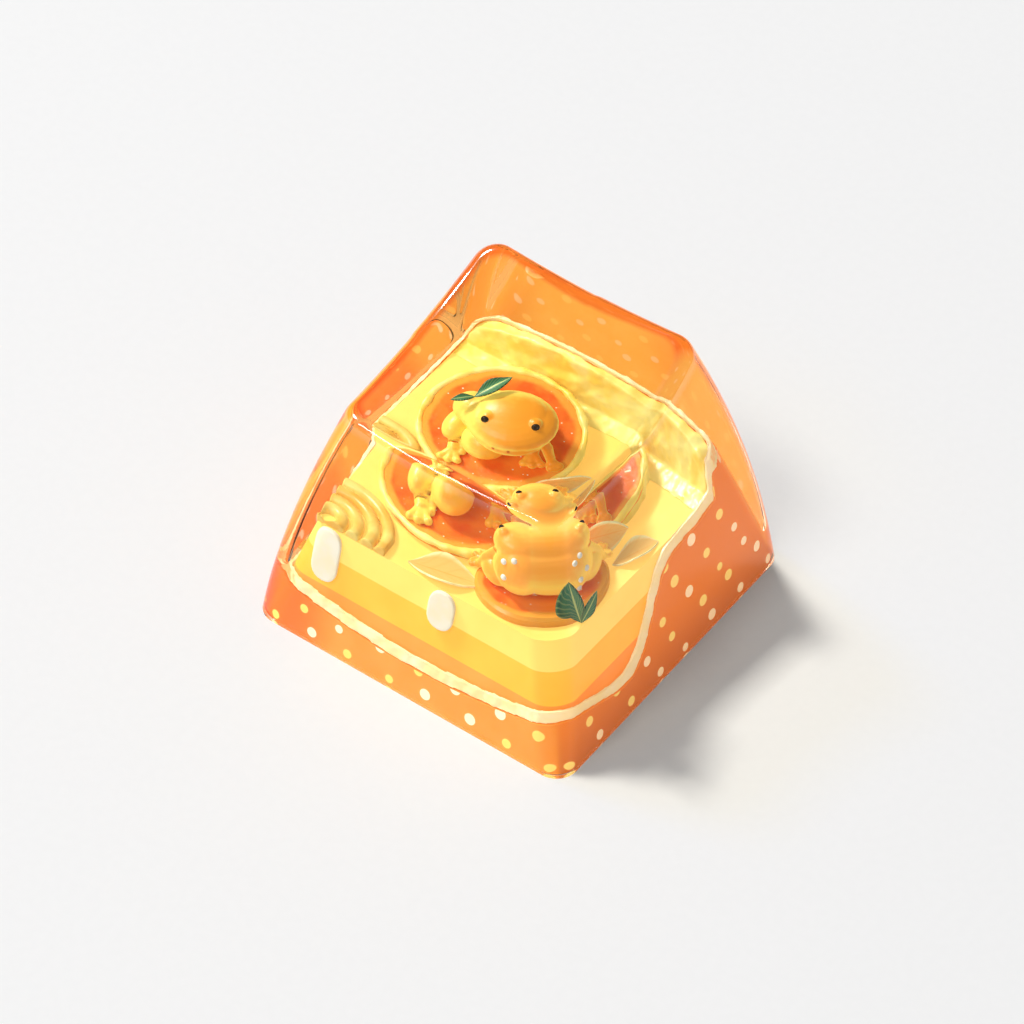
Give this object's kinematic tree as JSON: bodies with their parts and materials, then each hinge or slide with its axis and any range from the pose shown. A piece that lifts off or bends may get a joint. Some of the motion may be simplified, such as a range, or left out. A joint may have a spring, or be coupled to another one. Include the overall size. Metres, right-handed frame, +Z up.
{
  "type": "artisan keycap",
  "caption": "Tall sculpted one-unit keycap cast in clear resin over a layered cake scene with frogs, citrus slices and petals, with a cross-socket stem underneath.",
  "frame": {"origin": "centre of the square foot, on the plane of the bottom rim", "axes": "+Z up out of the dished top, -Y towards the typist, +X to the typist's right"},
  "size_m": [0.0184, 0.0184, 0.0155],
  "materials": {
    "clear_resin": "polished clear",
    "orange_resin": "gloss with white and yellow dots",
    "cream": "satin",
    "cake_orange": "satin",
    "cake_golden": "satin",
    "cake_pale": "satin",
    "yellow_cream": "satin",
    "white_cream": "satin",
    "citrus": "gloss",
    "frog_yellow": "satin",
    "frog_orange": "satin",
    "leaf_green": "satin",
    "petal": "satin"
  },
  "bodies": {
    "root": {"clear_shell": "clear_resin", "dotted_cup": "orange_resin", "cream_rim": "cream", "cake_layer_lower": "cake_orange", "cake_layer_middle": "cake_golden", "cake_layer_upper": "cake_pale", "cream_bed": "yellow_cream", "cream_rosette": "yellow_cream", "cream_drips": "white_cream", "large_citrus_slice": "citrus", "small_citrus_slice": "citrus", "sitting_frog": "frog_yellow", "turned_frog": "frog_orange", "head_leaves": "leaf_green", "leaf_sprig": "leaf_green", "front_petal": "petal", "middle_petal": "petal", "side_petal": "petal"}
  },
  "joints": []
}
